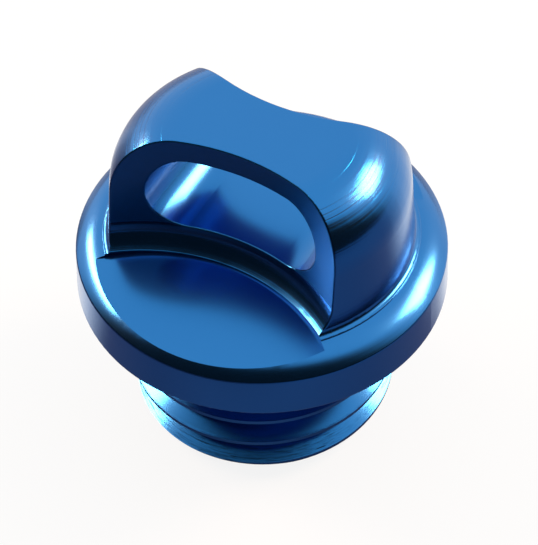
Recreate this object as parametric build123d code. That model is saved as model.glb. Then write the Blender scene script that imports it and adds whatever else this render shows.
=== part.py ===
"""Screw-in oil filler cap: one turned and milled aluminium body and its rubber seal ring.

Millimetres, +Z up. The origin is on the thread's axis, in the plane of the flange's underside,
which seats on the filler neck. The grip runs along X, and its two scoops face -Y and +Y.
"""
import os
from math import cos, radians, sin, sqrt, tan

from build123d import *

# Flange: a tapered side, then one wide arc that comes level at the top
flange_radius = 13.5
flange_height = 4.4
flange_taper_angle = 3.0
rim_arc_width = 2.75
rim_arc_height = 1.2
rim_edge_break = 0.25
underside_edge_break = 0.2

# Dome that the grip is milled from
grip_height = 9.4
dome_inset = 2.55
dome_draft_angle = 5.0
dome_shoulder_radius = 4.9
dome_foot_fillet = 0.45
dome_foot_step = 0.12
dome_foot_break = 0.08

# Scoops, one on each side of the grip, each milled round an axis that stands beside the cap,
# with walls drafted like the dome and floors that fall towards the rim
grip_waist = 5.6
scoop_axis_distance = 18.2
scoop_foot_reach = 1.74
scoop_cove_height = 1.8
scoop_foot_step = 0.2
scoop_step_break = 0.12
scoop_floor_drop = 0.02
scoop_floor_slope = 4.5

# Slot through the grip
slot_length = 13.2
slot_height = 5.8
slot_centre_rise = 4.77

# Broken edges round the grip's two walls and the slot's two mouths
grip_edge_break = 0.15
slot_edge_break = 0.12

# Right-hand metric thread, 20 x 2.5, with the standard's depth and crest for its pitch
thread_major_radius = 9.95
thread_pitch = 2.5
thread_flank_angle = 30.0
thread_depth_per_pitch = 0.6134
thread_crest_per_pitch = 0.125
thread_crest_drop = 5.2
thread_undercut = 0.07
crest_allowance = 0.1
flank_steps = 8

# Stub that carries the thread, and the seal ring on the relieved neck above it
stub_length = 12.0
stub_chamfer_height = 1.3
seal_section_diameter = 2.4
seal_clearance = 0.05
neck_spare_length = 0.6

# How far a cutter runs past the face that it leaves, and how near counts as on a face
cutter_overrun = 1.0
tolerance = 0.01

# Sizes that follow from those above
rim_edge_height = flange_height - rim_arc_height
rim_edge_radius = flange_radius - rim_edge_height * tan(radians(flange_taper_angle))
rim_flat_radius = rim_edge_radius - rim_arc_width
rim_arc_radius = (rim_arc_width**2 + rim_arc_height**2) / (2 * rim_arc_height)
cap_height = flange_height + grip_height
draft = radians(dome_draft_angle)
dome_foot_radius = flange_radius - dome_inset
scoop_wall_radius = scoop_axis_distance - grip_waist / 2
scoop_foot_radius = scoop_wall_radius - scoop_foot_reach
slot_centre_height = flange_height + slot_centre_rise
slot_end_radius = slot_height / 2
thread_root_radius = thread_major_radius - thread_depth_per_pitch * thread_pitch
neck_radius = thread_root_radius - thread_undercut
neck_length = seal_section_diameter + neck_spare_length
inside_flange = flange_height / 2


def corner(section, point):
    """The corner of a flat section that lies at a point."""
    return section.vertices().sort_by_distance(point)[0]


def turn(section):
    """A section in radius and height, turned about the cap's axis."""
    return revolve(Plane.XZ * section, Axis.Z)


def on_both_sides(cutter):
    """A cutter on the -Y side and its mirror image on the +Y side."""
    return [cutter, mirror(cutter, Plane.XZ)]


def from_scoop_axis(point):
    """Distance of a point from the axis of the scoop on its own side."""
    return Vector(point.X, abs(point.Y) - scoop_axis_distance).length


def flange():
    """Disc whose rim arc leaves the top level and meets the tapered side at an edge."""
    underside_edge = (flange_radius, 0)
    rim_edge = (rim_edge_radius, rim_edge_height)
    rim_start = (rim_flat_radius, flange_height)
    section = make_face([
        Line((0, 0), underside_edge),
        Line(underside_edge, rim_edge),
        TangentArc(rim_start, rim_edge, tangent=(1, 0)),
        Line(rim_start, (0, flange_height)),
        Line((0, flange_height), (0, 0)),
    ])
    section = fillet(corner(section, rim_edge), rim_edge_break)
    section = fillet(corner(section, underside_edge), underside_edge_break)
    return turn(section)


def dome_foot():
    """Fillet round the dome's foot, which ends in a fine step down to the rim arc."""
    reach = dome_foot_fillet * tan((radians(90) - draft) / 2)
    on_rim_arc = max(dome_foot_radius + reach - rim_flat_radius, 0)
    rim_drop = rim_arc_radius - sqrt(rim_arc_radius**2 - on_rim_arc**2)
    height = flange_height - rim_drop + dome_foot_step
    corner_radius = dome_foot_radius - (height - flange_height) * tan(draft)
    step_edge = (corner_radius + reach, height)
    fillet_top = (corner_radius - reach * sin(draft), height + reach * cos(draft))
    section = make_face([
        Line((0, inside_flange), (step_edge[0], inside_flange)),
        Line((step_edge[0], inside_flange), step_edge),
        TangentArc(step_edge, fillet_top, tangent=(-1, 0)),
        Line(fillet_top, (0, fillet_top[1])),
        Line((0, fillet_top[1]), (0, inside_flange)),
    ])
    section = fillet(corner(section, step_edge), dome_foot_break)
    return turn(section)


def dome():
    """Drafted dome with a round shoulder and a flat top, sunk into the flange."""
    shoulder_height = cap_height - dome_shoulder_radius
    side_at_shoulder = dome_foot_radius - (shoulder_height - flange_height) * tan(draft)
    shoulder_centre = side_at_shoulder - dome_shoulder_radius / cos(draft)
    root = (dome_foot_radius + (flange_height - inside_flange) * tan(draft), inside_flange)
    shoulder_start = (
        shoulder_centre + dome_shoulder_radius * cos(draft),
        shoulder_height + dome_shoulder_radius * sin(draft),
    )
    shoulder_end = (shoulder_centre, cap_height)
    return turn(make_face([
        Line((0, inside_flange), root),
        Line(root, shoulder_start),
        TangentArc(shoulder_start, shoulder_end, tangent=(-sin(draft), cos(draft))),
        Line(shoulder_end, (0, cap_height)),
        Line((0, cap_height), (0, inside_flange)),
    ]))


def scoop():
    """Milling cut on the -Y side: a drafted wall, and a cove that ends in a fine step at its foot."""
    step_edge = (scoop_foot_radius, flange_height + scoop_foot_step)
    cove_height = step_edge[1] + scoop_cove_height
    cove_top = (scoop_wall_radius - (cap_height - cove_height) * tan(draft), cove_height)
    wall_top = (scoop_wall_radius + cutter_overrun * tan(draft), cap_height + cutter_overrun)
    section = make_face([
        Line((0, 0), (scoop_foot_radius, 0)),
        Line((scoop_foot_radius, 0), step_edge),
        TangentArc(cove_top, step_edge, tangent=(-sin(draft), -cos(draft))),
        Line(cove_top, wall_top),
        Line(wall_top, (0, wall_top[1])),
        Line((0, wall_top[1]), (0, 0)),
    ])
    return Pos(0, -scoop_axis_distance, 0) * turn(section)


def scoop_floor():
    """Facing cut on the -Y side, up to the scoop's foot, which leaves a floor that falls towards the rim."""
    slope = radians(scoop_floor_slope)
    foot = (0, scoop_foot_radius - scoop_axis_distance, flange_height - scoop_floor_drop)
    height = cap_height + cutter_overrun
    facing = Pos(0, -scoop_axis_distance, height / 2) * Cylinder(scoop_foot_radius, height)
    return split(facing, Plane(foot, z_dir=(0, -sin(slope), cos(slope))), keep=Keep.TOP)


def is_grip_edge(edge):
    """True for a sharp edge between the dome and a scoop's wall or cove."""
    middle = edge @ 0.5
    is_cove_line = edge.geom_type == GeomType.CIRCLE and middle.Z < cap_height - tolerance
    along_scoop = from_scoop_axis(middle) < scoop_wall_radius + tolerance
    above_step = from_scoop_axis(middle) > scoop_foot_radius + tolerance
    return along_scoop and above_step and not is_cove_line


def is_step_edge(edge):
    """True for the edge at the top of the step at a scoop's foot."""
    middle = edge @ 0.5
    at_foot = abs(from_scoop_axis(middle) - scoop_foot_radius) < tolerance
    return at_foot and abs(middle.Z - flange_height - scoop_foot_step) < tolerance


def is_slot_mouth(edge):
    """True for an edge round the slot's outline, and not for the lines that run through it."""
    middle = edge @ 0.5
    past_straight = max(abs(middle.X) - (slot_length / 2 - slot_end_radius), 0)
    from_centre_line = Vector(past_straight, middle.Z - slot_centre_height).length
    on_outline = abs(from_centre_line - slot_end_radius) < tolerance
    return on_outline and edge.geom_type != GeomType.LINE


def grip():
    """Two-sided grip: the dome between its scoops, with broken edges and the slot through it."""
    body = dome() - on_both_sides(scoop())
    body = fillet(body.edges().filter_by(is_grip_edge), grip_edge_break)
    body = fillet(body.edges().filter_by(is_step_edge), scoop_step_break)
    slot = extrude(Plane.XZ * SlotOverall(slot_length, slot_height), flange_radius, both=True)
    body = body - Pos(0, 0, slot_centre_height) * slot
    return fillet(body.edges().filter_by(is_slot_mouth), slot_edge_break)


def on_turn(radius, turns):
    """The point at a radius, a number of turns round from +X."""
    angle = radians(360 * turns)
    return (radius * cos(angle), radius * sin(angle))


def flank(start_radius, start, end_radius, end):
    """Edge of the thread's section along which the radius changes evenly with the angle."""
    shares = [step / flank_steps for step in range(flank_steps + 1)]
    return Spline([
        on_turn(start_radius + share * (end_radius - start_radius), start + share * (end - start))
        for share in shares
    ])


def thread():
    """Right-hand thread with a proud crest: a section across the axis, twisted a turn for each pitch."""
    proud_radius = thread_major_radius + crest_allowance
    turns_per_depth = tan(radians(thread_flank_angle)) / thread_pitch
    half_crest = thread_crest_per_pitch / 2 - crest_allowance * turns_per_depth
    half_foot = half_crest + (proud_radius - thread_root_radius) * turns_per_depth
    section = make_face([
        ThreePointArc(
            on_turn(proud_radius, -half_crest),
            on_turn(proud_radius, 0),
            on_turn(proud_radius, half_crest),
        ),
        flank(proud_radius, half_crest, thread_root_radius, half_foot),
        ThreePointArc(
            on_turn(thread_root_radius, half_foot),
            on_turn(thread_root_radius, 0.5),
            on_turn(thread_root_radius, -half_foot),
        ),
        flank(thread_root_radius, -half_foot, proud_radius, -half_crest),
    ])
    length = stub_length - neck_length
    twist = 360 * length / thread_pitch
    outline = section.face().outer_wire()
    twisted = Solid.extrude_linear_with_rotation(outline, (0, 0, 0), (0, 0, length), twist)
    return Pos(0, 0, -stub_length) * twisted


def stub_turning():
    """Ring-shaped cutter that turns the crest to size and chamfers the end to below the thread's root."""
    overrun_width = cutter_overrun * (thread_major_radius - neck_radius) / stub_chamfer_height
    outside = thread_major_radius + crest_allowance + cutter_overrun
    below = -stub_length - cutter_overrun
    ring = turn(make_face(Polyline(
        (thread_major_radius, cutter_overrun),
        (outside, cutter_overrun),
        (outside, below),
        (neck_radius - overrun_width, below),
        (thread_major_radius, stub_chamfer_height - stub_length),
        close=True,
    )))
    seam_away_from_crest = Rot(0, 0, 180)
    return seam_away_from_crest * ring


def stub():
    """Threaded stub with its chamfered end, and the relieved neck that joins it to the flange."""
    crest_angle = 360 * (thread_crest_drop - stub_length) / thread_pitch
    screw = Rot(0, 0, crest_angle) * (thread() - stub_turning())
    sunk_height = neck_length + inside_flange + cutter_overrun
    neck = Pos(0, 0, inside_flange - sunk_height / 2) * Cylinder(neck_radius, sunk_height)
    return screw + neck


def cap_body():
    """The finished body: the flange, the grip on it with its foot, and the threaded stub below."""
    foot = dome_foot() - on_both_sides(scoop())
    base = flange() - on_both_sides(scoop_floor())
    return base + foot + grip() + stub()


def seal_ring():
    """Rubber ring that sits on the neck, against the flange's underside."""
    section_radius = seal_section_diameter / 2
    ring = Torus(neck_radius + seal_clearance + section_radius, section_radius)
    return Pos(0, 0, -seal_clearance - section_radius) * ring


os.makedirs("parts", exist_ok=True)
export_step(cap_body(), "parts/cap_body.step")
export_step(seal_ring(), "parts/seal_ring.step")
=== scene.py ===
"""Looks of the screw-in oil filler cap: blue anodised aluminium with the marks of its turning and
milling, a black rubber seal ring, and the small studio that the cap stands in."""

from math import cos, pi, radians, sin

import bmesh
import bpy
from mathutils import Matrix, Vector


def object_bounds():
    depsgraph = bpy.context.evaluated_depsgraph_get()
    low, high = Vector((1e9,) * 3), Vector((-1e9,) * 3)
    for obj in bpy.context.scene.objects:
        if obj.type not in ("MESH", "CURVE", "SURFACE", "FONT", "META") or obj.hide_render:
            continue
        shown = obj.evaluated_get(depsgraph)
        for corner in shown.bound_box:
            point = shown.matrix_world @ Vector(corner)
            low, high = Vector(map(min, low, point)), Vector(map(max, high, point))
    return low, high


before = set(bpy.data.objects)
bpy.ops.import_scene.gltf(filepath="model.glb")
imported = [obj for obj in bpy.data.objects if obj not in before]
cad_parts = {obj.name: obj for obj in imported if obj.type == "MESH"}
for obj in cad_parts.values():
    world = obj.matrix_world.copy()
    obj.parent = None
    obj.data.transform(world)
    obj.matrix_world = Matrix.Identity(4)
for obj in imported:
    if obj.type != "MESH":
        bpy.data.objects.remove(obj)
cad_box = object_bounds()

MM = 0.001

# The camera: lengths in metres, and degrees round the cap from the grip's front and up
VIEW_TURN = 28.24
VIEW_ELEVATION = 48.37
VIEW_ROLL = -0.61
VIEW_DISTANCE = 138.46 * MM
VIEW_AIM = Vector((0.43, 0.23, -0.59)) * MM
IMAGE_HEIGHT = 545
FOCAL_PIXELS = 1891.1
SENSOR_WIDTH = 36.0
NEAREST_SEEN = 0.01

# The cap's own places, in metres, for finishes that follow how it was machined
CAP_HEIGHT = 13.8 * MM
SHOULDER_FOOT = 7.5 * MM
SHOULDER_HEAD = 9.5 * MM
SCOOP_AXIS_DISTANCE = 18.2 * MM
SCOOP_WALL_RADIUS = 15.42 * MM
SCOOP_WALL_SLOPE = 0.0875
SCOOP_FOOT_HEIGHT = 4.5 * MM
SCOOP_COVE_HEIGHT = 6.4 * MM
SLOT_CENTRE_HEIGHT = 9.17 * MM
SLOT_HALF_STRAIGHT = 3.7 * MM
SLOT_RADIUS = 2.9 * MM
SLOT_MARGIN = 0.05 * MM
SLOT_ROUGH_START = 7.3 * MM
SLOT_ROUGH_END = 8.3 * MM

# Deeper rings on the shoulder, each with its radius and half its width in millimetres
SHOULDER_RINGS = ((6.72, 0.05), (7.92, 0.04), (8.28, 0.07), (8.58, 0.05))
DEEP_RING_DEPTH = 0.5

# Tool marks: noise scale and detail, and the share of their full height in each place
TURNED_SCALE = 2800.0
TURNED_DETAIL = 4.0
MILLED_SCALE = 4300.0
MILLED_DETAIL = 2.0
TURNED_ON_FLAT_TOP = 0.03
TURNED_ON_STUB = 0.05
TURNED_ON_SIDES = 0.3
MILLED_ON_WALL = 0.05
MARK_HEIGHT = 0.04 * MM
MARK_STRENGTH = 0.5

# Finishes
ANODISED_BLUE = (0.008, 0.184, 0.518)
ANODISED_DEEP_BLUE = (0.006, 0.170, 0.496)
DYE_SCALE = 160.0
DYE_DETAIL = 3.0
SMOOTHEST = 0.16
LEAST_SMOOTH = 0.2
SLOT_ROUGHNESS = 0.55
WALL_ROUGH_SHARE = 0.65
COAT_WEIGHT = 0.55
COAT_ROUGHNESS = 0.22
COAT_IOR = 1.5
RUBBER_BLACK = (0.012, 0.012, 0.013)
RUBBER_GREY = (0.022, 0.022, 0.023)
RUBBER_SCALE = 2200.0
RUBBER_DETAIL = 4.0
RUBBER_GRAIN_HEIGHT = 0.03 * MM
RUBBER_GRAIN_STRENGTH = 0.3

# The studio: sizes in metres, and degrees round from the camera's side and up from the floor
DISC_SEGMENTS = 96
FLOOR_HEIGHT = cad_box[0][2]
FLOOR_RADIUS = 4.0
FLOOR_COLOUR = (0.7, 0.83, 0.9)
FLOOR_GLOW_SHARE = 0.88
# The dark card's colours are painted dark reflections, seen only in the metal
CARD_REFLECTION_COLOUR = (0.12, 0.155, 0.27)
CARD_DARKEST_REFLECTION_COLOUR = (0.06, 0.05, 0.09)
CARD_LIFT = 0.05 * MM
CARD_INNER_RADIUS = 8.6 * MM
CARD_OUTER_RADIUS = 3000.0 * MM
CARD_FRONT_TURN = 4.0
CARD_GRIP_TURN = -70.0
CARD_BACK_TURN = 180.0
CARD_BACK_COVER = 0.75
LAMP_COLOUR = (1.0, 0.56, 0.35)
ROOM_DARK_TURN = -9.0
ROOM_DARK_ELEVATION = -36.0
ROOM_DARK_INSIDE = 96.0
ROOM_DARK_OUTSIDE = 115.0
ROOM_DARK_LEVEL = 0.02
ROOM_LIGHT_LEVEL = 1.0
SOFTBOX_DISTANCE = 0.5
POWER_PER_RADIANCE = 4.0


def toward(turn, elevation):
    """The direction at an angle round from the camera's side and an angle up from the floor."""
    angle = radians(turn + VIEW_TURN - 90)
    level = cos(radians(elevation))
    return Vector((level * cos(angle), level * sin(angle), sin(radians(elevation))))


def place_camera():
    """The camera, at the photograph's distance, angle and roll."""
    data = bpy.data.cameras.new("camera")
    data.sensor_width = SENSOR_WIDTH
    data.lens = FOCAL_PIXELS * SENSOR_WIDTH / IMAGE_HEIGHT
    data.clip_start = NEAREST_SEEN
    camera = bpy.data.objects.new("camera", data)
    outward = toward(0, VIEW_ELEVATION)
    turned = outward.to_track_quat("Z", "Y").to_matrix().to_4x4()
    rolled = turned @ Matrix.Rotation(radians(VIEW_ROLL), 4, "Z")
    camera.matrix_world = Matrix.Translation(VIEW_AIM + outward * VIEW_DISTANCE) @ rolled
    bpy.context.scene.collection.objects.link(camera)
    bpy.context.scene.camera = camera


def new_material(name):
    """A new material, its node tree and the tree's main shader."""
    material = bpy.data.materials.new(name)
    material.use_nodes = True
    tree = material.node_tree
    return material, tree, tree.nodes["Principled BSDF"]


def add(tree, kind, settings=None, **inputs):
    """A node with its settings, and inputs set to a value or joined to another node's output."""
    node = tree.nodes.new(kind)
    for name, value in (settings or {}).items():
        setattr(node, name, value)
    for name, value in inputs.items():
        key = int(name[1:]) if name.startswith("_") else name.replace("_", " ")
        socket = node.inputs[key]
        if isinstance(value, bpy.types.NodeSocket):
            tree.links.new(value, socket)
        else:
            socket.default_value = value
    return node


def maths(tree, operation, first, second=0.0):
    """The output of a Math node."""
    return add(tree, "ShaderNodeMath", {"operation": operation}, _0=first, _1=second).outputs[0]


def axis_distance(tree, across, along):
    """The distance from an axis of a point at two places across it."""
    across_squared = maths(tree, "POWER", across, 2.0)
    along_squared = maths(tree, "POWER", along, 2.0)
    return maths(tree, "SQRT", maths(tree, "ADD", across_squared, along_squared))


def rings_about(tree, radius, height, scale, detail):
    """Noise that is the same all round an axis, as a cutting tool leaves it."""
    profile = add(tree, "ShaderNodeCombineXYZ", X=radius, Y=height)
    settings = {"noise_dimensions": "2D"}
    place = profile.outputs[0]
    noise = add(tree, "ShaderNodeTexNoise", settings, Vector=place, Scale=scale, Detail=detail)
    return noise.outputs[0]


def fade(tree, value, start, end):
    """A smooth change from 0 where the value is at its start to 1 at its end."""
    settings = {"interpolation_type": "SMOOTHSTEP"}
    change = add(tree, "ShaderNodeMapRange", settings, Value=value, From_Min=start, From_Max=end)
    return change.outputs[0]


def blend(tree, share, first, second):
    """The first value where the share is 0 and the second where it is 1."""
    mix = add(tree, "ShaderNodeMix", {"data_type": "FLOAT"}, Factor=share, _2=first, _3=second)
    return mix.outputs[0]


def mix_colours(tree, share, first, second):
    """The first colour where the share is 0 and the second where it is 1."""
    settings = {"data_type": "RGBA"}
    mix = add(tree, "ShaderNodeMix", settings, Factor=share, _6=(*first, 1.0), _7=(*second, 1.0))
    return mix.outputs[2]


def within(tree, direction, centre, outside, inside):
    """A smooth change from 0 to 1 as a direction turns towards a centre, between two angles from it."""
    settings = {"operation": "DOT_PRODUCT"}
    nearness = add(tree, "ShaderNodeVectorMath", settings, _0=direction, _1=centre)
    return fade(tree, nearness.outputs["Value"], cos(radians(outside)), cos(radians(inside)))


def shoulder_rings(tree, radius):
    """The few deeper rings that the turning tool left on the shoulder."""
    total = 0.0
    for ring_radius, ring_width in SHOULDER_RINGS:
        away = maths(tree, "ABSOLUTE", maths(tree, "SUBTRACT", radius, ring_radius * MM))
        total = maths(tree, "ADD", fade(tree, away, ring_width * MM, 0.0), total)
    return total


def machining_marks():
    """Group with the height of the tool marks, rings where the cap was turned and arcs where it was
    milled, and a mask of the faces that were left rougher."""
    group = bpy.data.node_groups.new("machining_marks", "ShaderNodeTree")
    group.interface.new_socket("Position", in_out="INPUT", socket_type="NodeSocketVector")
    group.interface.new_socket("Height", in_out="OUTPUT", socket_type="NodeSocketFloat")
    group.interface.new_socket("Rough", in_out="OUTPUT", socket_type="NodeSocketFloat")
    entry = group.nodes.new("NodeGroupInput")
    leave = group.nodes.new("NodeGroupOutput")
    x, y, z = add(group, "ShaderNodeSeparateXYZ", Vector=entry.outputs["Position"]).outputs
    radius = axis_distance(group, x, y)
    depth_below_top = maths(group, "SUBTRACT", CAP_HEIGHT, z)

    beside = maths(group, "SUBTRACT", SCOOP_AXIS_DISTANCE, maths(group, "ABSOLUTE", y))
    from_scoop = axis_distance(group, x, beside)
    wall_slope = maths(group, "MULTIPLY", depth_below_top, SCOOP_WALL_SLOPE)
    wall_radius = maths(group, "SUBTRACT", SCOOP_WALL_RADIUS, wall_slope)
    in_scoop = maths(group, "LESS_THAN", from_scoop, wall_radius)
    above_foot = maths(group, "GREATER_THAN", z, SCOOP_FOOT_HEIGHT)

    below_flat = fade(group, depth_below_top, start=0.05 * MM, end=0.4 * MM)
    above_stub = maths(group, "GREATER_THAN", z, 0.0)
    on_sides = blend(group, above_stub, TURNED_ON_STUB, TURNED_ON_SIDES)
    up_shoulder = fade(group, z, SHOULDER_FOOT, SHOULDER_HEAD)
    on_shoulder = blend(group, up_shoulder, on_sides, 1.0)
    off_flat_top = blend(group, below_flat, TURNED_ON_FLAT_TOP, 1.0)
    turned_share = maths(group, "MULTIPLY", off_flat_top, on_shoulder)
    fine_rings = rings_about(group, radius, z, TURNED_SCALE, TURNED_DETAIL)
    turned_rings = maths(group, "MULTIPLY", fine_rings, turned_share)
    above_cove = maths(group, "GREATER_THAN", z, SCOOP_COVE_HEIGHT)
    deep_rings = maths(group, "MULTIPLY", shoulder_rings(group, radius), above_cove)
    deep_rings = maths(group, "MULTIPLY", deep_rings, DEEP_RING_DEPTH)
    turned = maths(group, "SUBTRACT", turned_rings, deep_rings)

    fine_arcs = rings_about(group, from_scoop, z, MILLED_SCALE, MILLED_DETAIL)
    in_cove = fade(group, z, start=SCOOP_COVE_HEIGHT + 0.6 * MM, end=SCOOP_COVE_HEIGHT - 0.4 * MM)
    milled_share = blend(group, in_cove, MILLED_ON_WALL, 1.0)
    milled_arcs = maths(group, "MULTIPLY", fine_arcs, milled_share)
    scooped = maths(group, "MULTIPLY", milled_arcs, above_foot)
    height = blend(group, in_scoop, turned, scooped)

    along_slot = maths(group, "ABSOLUTE", x)
    past_straight = maths(group, "SUBTRACT", along_slot, SLOT_HALF_STRAIGHT)
    past_straight = maths(group, "MAXIMUM", past_straight, 0.0)
    above_centre = maths(group, "SUBTRACT", z, SLOT_CENTRE_HEIGHT)
    from_slot = axis_distance(group, past_straight, above_centre)
    in_slot = maths(group, "LESS_THAN", from_slot, SLOT_RADIUS + SLOT_MARGIN)
    upper_slot = fade(group, z, SLOT_ROUGH_START, SLOT_ROUGH_END)
    on_wall = maths(group, "MULTIPLY", in_scoop, above_cove)
    rough_wall = maths(group, "MULTIPLY", on_wall, WALL_ROUGH_SHARE)
    rough_slot = maths(group, "MULTIPLY", in_slot, upper_slot)
    rough = maths(group, "MAXIMUM", rough_slot, rough_wall)
    group.links.new(rough, leave.inputs["Rough"])
    outside_slot = maths(group, "SUBTRACT", 1.0, in_slot)
    group.links.new(maths(group, "MULTIPLY", height, outside_slot), leave.inputs["Height"])
    return group


def anodised_aluminium():
    """Blue anodised metal: satin, with fine tool marks and a faint unevenness of the dye."""
    material, tree, shader = new_material("anodised_aluminium")
    position = add(tree, "ShaderNodeTexCoord").outputs["Object"]
    marks = tree.nodes.new("ShaderNodeGroup")
    marks.node_tree = machining_marks()
    tree.links.new(position, marks.inputs["Position"])
    noise = add(tree, "ShaderNodeTexNoise", Vector=position, Scale=DYE_SCALE, Detail=DYE_DETAIL)
    cloud = noise.outputs[0]
    colour = mix_colours(tree, cloud, ANODISED_DEEP_BLUE, ANODISED_BLUE)
    tree.links.new(colour, shader.inputs["Base Color"])
    roughness = add(
        tree, "ShaderNodeMapRange", Value=cloud, From_Min=0.3, From_Max=0.7,
        To_Min=SMOOTHEST, To_Max=LEAST_SMOOTH)
    finish = blend(tree, marks.outputs["Rough"], roughness.outputs[0], SLOT_ROUGHNESS)
    tree.links.new(finish, shader.inputs["Roughness"])
    height = marks.outputs["Height"]
    bump = add(tree, "ShaderNodeBump", Strength=MARK_STRENGTH, Distance=MARK_HEIGHT, Height=height)
    tree.links.new(bump.outputs[0], shader.inputs["Normal"])
    shader.inputs["Metallic"].default_value = 1.0
    shader.inputs["Coat Weight"].default_value = COAT_WEIGHT
    shader.inputs["Coat Roughness"].default_value = COAT_ROUGHNESS
    shader.inputs["Coat IOR"].default_value = COAT_IOR
    return material


def seal_rubber():
    """Matt black rubber with the fine grain of its mould."""
    material, tree, shader = new_material("seal_rubber")
    position = add(tree, "ShaderNodeTexCoord").outputs["Object"]
    noise = add(tree, "ShaderNodeTexNoise", Vector=position, Scale=RUBBER_SCALE, Detail=RUBBER_DETAIL)
    grain = noise.outputs[0]
    colour = mix_colours(tree, grain, RUBBER_BLACK, RUBBER_GREY)
    tree.links.new(colour, shader.inputs["Base Color"])
    roughness = add(tree, "ShaderNodeMapRange", Value=grain, To_Min=0.5, To_Max=0.75)
    tree.links.new(roughness.outputs[0], shader.inputs["Roughness"])
    bump = add(
        tree, "ShaderNodeBump", Strength=RUBBER_GRAIN_STRENGTH, Distance=RUBBER_GRAIN_HEIGHT,
        Height=grain)
    tree.links.new(bump.outputs[0], shader.inputs["Normal"])
    return material


def dress(node, material):
    """Gives a CAD node's object a material in place of its plain one."""
    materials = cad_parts[node].data.materials
    materials.clear()
    materials.append(material)


def stage_object(name, shape, material):
    """A piece of the studio, made from a finished bmesh."""
    mesh = bpy.data.meshes.new(name)
    shape.to_mesh(mesh)
    shape.free()
    mesh.materials.append(material)
    thing = bpy.data.objects.new(name, mesh)
    bpy.context.scene.collection.objects.link(thing)
    return thing


def floor_finish():
    """Plain pale floor that shows as white, with the cap's shadow left on it."""
    material, tree, shader = new_material("floor")
    shader.inputs["Base Color"].default_value = (*FLOOR_COLOUR, 1.0)
    shader.inputs["Roughness"].default_value = 1.0
    shader.inputs["Specular IOR Level"].default_value = 0.0
    rays = add(tree, "ShaderNodeLightPath")
    seen = maths(tree, "MAXIMUM", rays.outputs["Is Camera Ray"], rays.outputs["Is Glossy Ray"])
    seen = maths(tree, "MAXIMUM", seen, rays.outputs["Is Transmission Ray"])
    share = maths(tree, "MULTIPLY", seen, FLOOR_GLOW_SHARE)
    glow = add(tree, "ShaderNodeEmission", Color=(1.0, 1.0, 1.0, 1.0), Strength=1.0)
    mixed = add(tree, "ShaderNodeMixShader", _0=share, _1=shader.outputs[0], _2=glow.outputs[0])
    tree.links.new(mixed.outputs[0], tree.nodes["Material Output"].inputs["Surface"])
    return material


def lay_floor():
    """The floor, a wide disc under the cap."""
    shape = bmesh.new()
    height = Matrix.Translation((0.0, 0.0, FLOOR_HEIGHT))
    bmesh.ops.create_circle(
        shape, cap_ends=True, segments=DISC_SEGMENTS, radius=FLOOR_RADIUS, matrix=height)
    stage_object("floor", shape, floor_finish())


def card_reflection_finish():
    """Painted dark reflection: a dark card round the front, darker far before the grip and fainter far
    behind the cap, all with soft edges."""
    material, tree, shader = new_material("dark_card")
    shader.inputs["Roughness"].default_value = 1.0
    shader.inputs["Specular IOR Level"].default_value = 0.0
    position = add(tree, "ShaderNodeTexCoord").outputs["Object"]
    x, y, _ = add(tree, "ShaderNodeSeparateXYZ", Vector=position).outputs
    level = add(tree, "ShaderNodeCombineXYZ", X=x, Y=y).outputs[0]
    direction = add(tree, "ShaderNodeVectorMath", {"operation": "NORMALIZE"}, _0=level).outputs[0]
    distance = axis_distance(tree, x, y)
    grip_side = within(tree, direction, toward(CARD_GRIP_TURN, 0.0), outside=90.0, inside=50.0)
    past_grip = fade(tree, distance, start=26.0 * MM, end=36.0 * MM)
    before_grip = maths(tree, "MULTIPLY", grip_side, past_grip)
    colour = mix_colours(tree, before_grip, CARD_REFLECTION_COLOUR, CARD_DARKEST_REFLECTION_COLOUR)
    tree.links.new(colour, shader.inputs["Base Color"])
    before = within(tree, direction, toward(CARD_FRONT_TURN, 0.0), outside=111.0, inside=82.0)
    behind = within(tree, direction, toward(CARD_BACK_TURN, 0.0), outside=50.0, inside=25.0)
    past_back = fade(tree, distance, start=32.0 * MM, end=44.0 * MM)
    far_behind = maths(tree, "MULTIPLY", behind, past_back)
    far_behind = maths(tree, "MULTIPLY", far_behind, CARD_BACK_COVER)
    cover = maths(tree, "MAXIMUM", before, before_grip)
    cover = maths(tree, "MAXIMUM", cover, far_behind)
    clear = add(tree, "ShaderNodeBsdfTransparent")
    mixed = add(tree, "ShaderNodeMixShader", _0=cover, _1=clear.outputs[0], _2=shader.outputs[0])
    tree.links.new(mixed.outputs[0], tree.nodes["Material Output"].inputs["Surface"])
    return material


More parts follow.
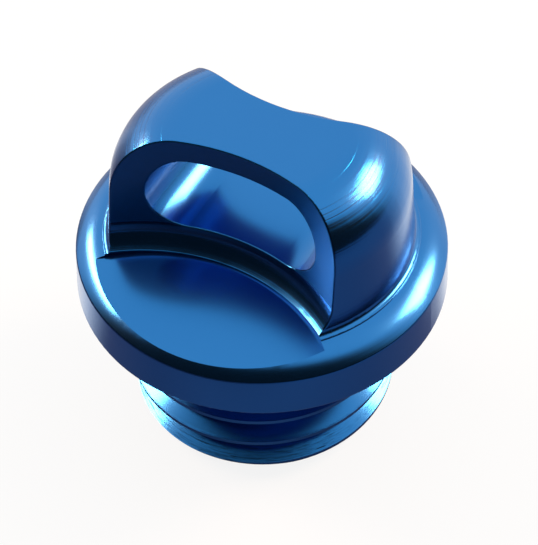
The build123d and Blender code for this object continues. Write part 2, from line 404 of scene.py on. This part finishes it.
def lay_dark_card():
    """A dark card on the floor round the cap, which shows only in the metal, where it paints dark
    reflections.
    """
    shape = bmesh.new()
    height = FLOOR_HEIGHT + CARD_LIFT
    inner = shape.verts.new((CARD_INNER_RADIUS, 0.0, height))
    outer = shape.verts.new((CARD_OUTER_RADIUS, 0.0, height))
    edge = shape.edges.new((inner, outer))
    bmesh.ops.spin(
        shape, geom=[inner, outer, edge], cent=(0, 0, 0), axis=(0, 0, 1), angle=2 * pi,
        steps=DISC_SEGMENTS)
    bmesh.ops.recalc_face_normals(shape, faces=shape.faces)
    card = stage_object("dark_card", shape, card_reflection_finish())
    # Only glossy rays see the card, so it paints dark reflections into the metal and nothing else
    card.visible_camera = False
    card.visible_diffuse = False
    card.visible_shadow = False
    card.visible_transmission = False


def hang_softbox(name, turn, elevation, width, height, roll, radiance):
    """A soft lamp that faces the cap, its size given as the angles that it fills, seen from the cap."""
    data = bpy.data.lights.new(name, "AREA")
    data.shape = "RECTANGLE"
    data.size = 2 * SOFTBOX_DISTANCE * sin(radians(width / 2))
    data.size_y = 2 * SOFTBOX_DISTANCE * sin(radians(height / 2))
    data.energy = POWER_PER_RADIANCE * radiance * data.size * data.size_y
    data.color = LAMP_COLOUR
    lamp = bpy.data.objects.new(name, data)
    outward = toward(turn, elevation)
    facing = outward.to_track_quat("Z", "Y").to_matrix().to_4x4()
    rolled = facing @ Matrix.Rotation(radians(roll), 4, "Z")
    lamp.matrix_world = Matrix.Translation(outward * SOFTBOX_DISTANCE) @ rolled
    bpy.context.scene.collection.objects.link(lamp)


def light_room():
    """The room: pale behind and above the cap, and dark on the camera's side."""
    world = bpy.data.worlds.new("room")
    world.use_nodes = True
    bpy.context.scene.world = world
    tree = world.node_tree
    direction = add(tree, "ShaderNodeTexCoord").outputs["Generated"]
    dark = toward(ROOM_DARK_TURN, ROOM_DARK_ELEVATION)
    share = within(tree, direction, dark, ROOM_DARK_OUTSIDE, ROOM_DARK_INSIDE)
    level = blend(tree, share, ROOM_LIGHT_LEVEL, ROOM_DARK_LEVEL)
    tree.links.new(level, tree.nodes["Background"].inputs["Strength"])
    tree.nodes["Background"].inputs["Color"].default_value = (1.0, 1.0, 1.0, 1.0)


bpy.context.scene.view_settings.view_transform = "Standard"
place_camera()
dress("cap_body", anodised_aluminium())
dress("seal_ring", seal_rubber())
lay_floor()
lay_dark_card()
light_room()
hang_softbox(
    "right_softbox", turn=110.0, elevation=35.0, width=22.0, height=18.0, roll=0.0, radiance=26.0)
hang_softbox(
    "left_softbox", turn=-118.0, elevation=31.0, width=36.0, height=8.0, roll=22.0, radiance=32.0)
